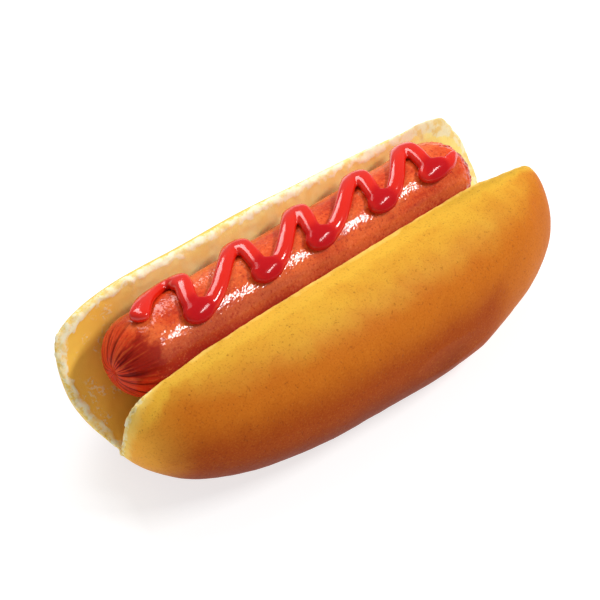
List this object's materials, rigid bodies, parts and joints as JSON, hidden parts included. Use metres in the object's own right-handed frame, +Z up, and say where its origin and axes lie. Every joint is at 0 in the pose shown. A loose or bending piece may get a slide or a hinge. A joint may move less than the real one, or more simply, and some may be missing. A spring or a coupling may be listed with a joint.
{
  "type": "hot dog",
  "caption": "Hot dog: a soft bun cut open along its top, with a cooked sausage lying in the cut and ketchup piped over it in waves.",
  "frame": {"origin": "middle of the bounding box's base, on the bun's flat underside", "axes": "+X along the sausage, towards the end where the last ketchup stroke ends; +Y towards the taller far half of the bun; +Z up"},
  "size_m": [0.1522, 0.0734, 0.0483],
  "materials": {
    "bread": "baked golden-brown crust with a fine pored surface, pale soft crumb at the cut's rims",
    "sausage_skin": "satin, moist orange-red skin with fine pores",
    "ketchup": "wet, glossy bright red"
  },
  "bodies": {
    "root": {"bun": "bread", "sausage": "sausage_skin", "ketchup": "ketchup"}
  },
  "joints": []
}
